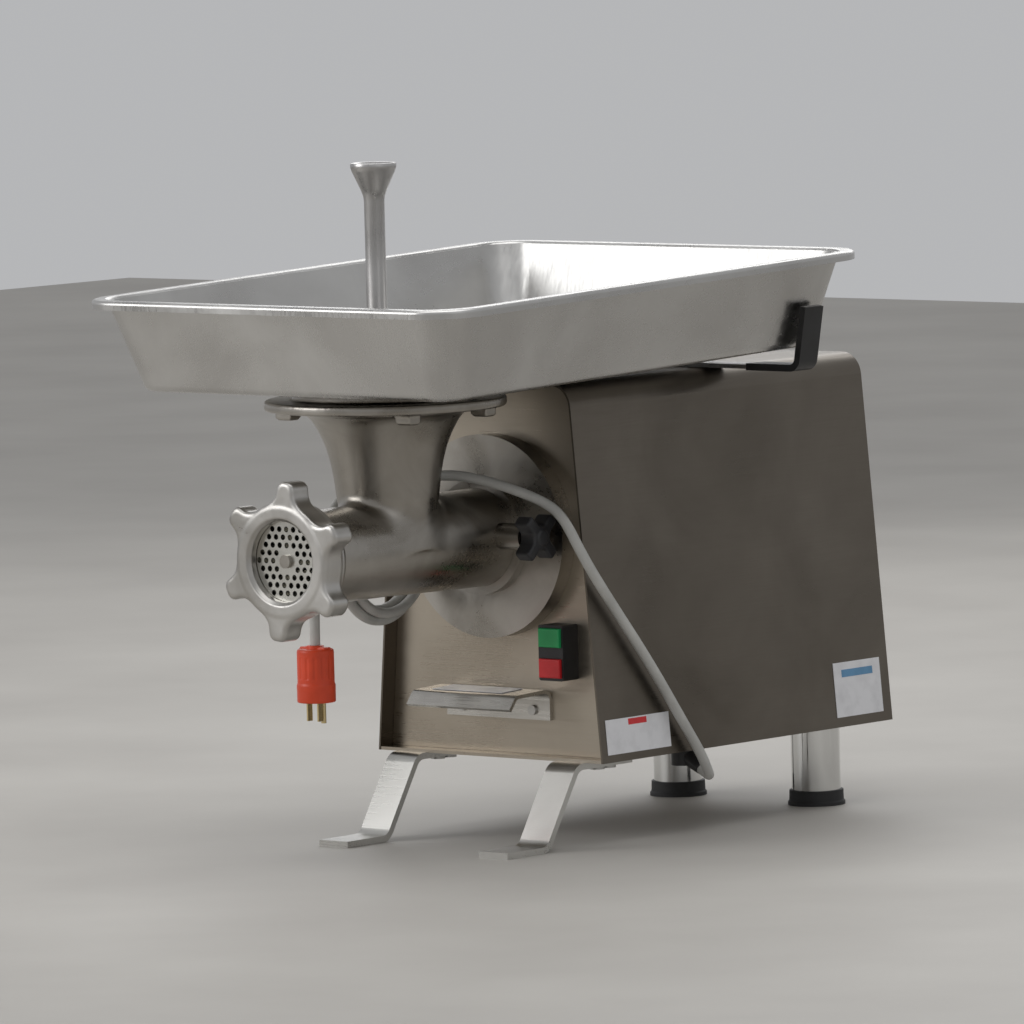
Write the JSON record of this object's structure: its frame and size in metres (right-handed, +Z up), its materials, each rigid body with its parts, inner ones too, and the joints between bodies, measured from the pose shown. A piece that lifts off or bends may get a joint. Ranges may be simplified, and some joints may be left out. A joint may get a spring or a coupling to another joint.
{
  "type": "electric meat grinder",
  "caption": "Bench-top electric meat grinder with a stainless housing, a plug-in grinding head, a flared throat, a deep feed tray and a hand pusher.",
  "frame": {"origin": "on the floor, under the middle of the machine without its cord", "axes": "+Z up, -Y towards the outlet, +X towards the switch side"},
  "size_m": [0.452, 0.7267, 0.63],
  "materials": {
    "stainless_wrap": "satin brushed",
    "stainless_panel": "satin brushed",
    "leg_steel": "satin",
    "chrome_tube": "polished",
    "black_rubber": "matte",
    "handle_steel": "satin",
    "label_white": "gloss",
    "black_plastic": "satin",
    "button_green": "satin",
    "button_red": "satin",
    "fastener_steel": "satin",
    "cast_head": "cast, rubbed",
    "cast_hub": "machined, rubbed",
    "ring_cast": "cast, rubbed",
    "plate_steel": "ground",
    "gear_steel": "ground",
    "motor_iron": "painted",
    "capacitor_can": "satin",
    "tray_aluminium": "satin, rubbed",
    "yoke_steel": "satin",
    "yoke_coating": "satin",
    "stomper_aluminium": "satin",
    "cord_grey": "satin",
    "plug_orange": "satin",
    "blade_brass": "polished"
  },
  "bodies": {
    "machine": {"housing_wrap": "stainless_wrap", "front_panel": "stainless_panel", "rear_panel": "stainless_panel", "base_plate": "stainless_panel", "front_leg_left": "leg_steel", "front_leg_right": "leg_steel", "rear_leg_left": "chrome_tube", "rear_leg_right": "chrome_tube", "rear_foot_left": "black_rubber", "rear_foot_right": "black_rubber", "shaft_seal": "black_rubber", "front_handle": "handle_steel", "handle_label": "label_white", "side_label_front": "label_white", "side_label_rear": "label_white", "switch_box": "black_plastic", "contactor": "black_plastic", "strain_relief": "black_plastic", "coil_tie": "black_plastic", "rear_screws": "fastener_steel", "leg_bolts": "fastener_steel", "handle_screws": "fastener_steel", "motor_bolts": "fastener_steel", "yoke_screws": "fastener_steel", "plate_key": "fastener_steel", "grinder_head": "cast_head", "hub_disc": "cast_hub", "cutting_plate": "plate_steel", "ball_bearings": "gear_steel", "stator": "motor_iron", "motor_case": "motor_iron", "gearbox_case": "motor_iron", "gearbox_cover": "motor_iron", "capacitor": "capacitor_can", "tray_yoke": "yoke_steel", "yoke_sleeve_left": "yoke_coating", "yoke_sleeve_right": "yoke_coating", "cord_run": "cord_grey", "cord_coil": "cord_grey", "cord_tail": "cord_grey", "plug_body": "plug_orange", "plug_blades": "blade_brass"},
    "drive": {"worm": "cast_head", "knife": "plate_steel", "output_shaft": "gear_steel", "output_gear": "gear_steel"},
    "lay": {"layshaft": "gear_steel", "layshaft_pinion": "gear_steel", "layshaft_gear": "gear_steel"},
    "motor": {"motor_shaft": "gear_steel", "motor_pinion": "gear_steel", "rotor": "motor_iron"},
    "ring": {"ring_nut": "ring_cast"},
    "knob": {"clamp_knob": "black_plastic", "clamp_stem": "fastener_steel"},
    "tray": {"feed_tray": "tray_aluminium"},
    "pusher": {"stomper": "stomper_aluminium"},
    "start": {"start_button": "button_green"},
    "stop": {"stop_button": "button_red"}
  },
  "joints": [
    {"name": "worm_spin", "type": "hinge", "parent": "machine", "child": "drive", "pos_m": [0, -0.0605, 0.28], "axis": [0, 1, 0], "continuous": true},
    {"name": "layshaft_spin", "type": "hinge", "parent": "machine", "child": "lay", "pos_m": [0, 0.0395, 0.19], "axis": [0, 1, 0], "continuous": true},
    {"name": "motor_spin", "type": "hinge", "parent": "machine", "child": "motor", "pos_m": [0, 0.1395, 0.28], "axis": [0, 1, 0], "continuous": true},
    {"name": "ring_turn", "type": "hinge", "parent": "machine", "child": "ring", "pos_m": [0, -0.3305, 0.28], "axis": [0, -1, 0], "range_deg": [0, 990]},
    {"name": "knob_turn", "type": "hinge", "parent": "machine", "child": "knob", "pos_m": [0.08, -0.0855, 0.284], "axis": [1, 0, 0], "range_deg": [0, 630]},
    {"name": "tray_lift", "type": "slide", "parent": "machine", "child": "tray", "axis": [0, 0, 1], "range_m": [0, 0.15]},
    {"name": "stomper_lift", "type": "slide", "parent": "machine", "child": "pusher", "axis": [0, 0, 1], "range_m": [0, 0.3]},
    {"name": "start_press", "type": "slide", "parent": "machine", "child": "start", "axis": [0, 1, 0], "range_m": [0, 0.003], "stiffness_N_per_m": 600},
    {"name": "stop_press", "type": "slide", "parent": "machine", "child": "stop", "axis": [0, 1, 0], "range_m": [0, 0.003], "stiffness_N_per_m": 600}
  ],
  "couplings": [
    {"joint": "layshaft_spin", "follows": "worm_spin", "ratio": -3},
    {"joint": "motor_spin", "follows": "worm_spin", "ratio": 9}
  ]
}
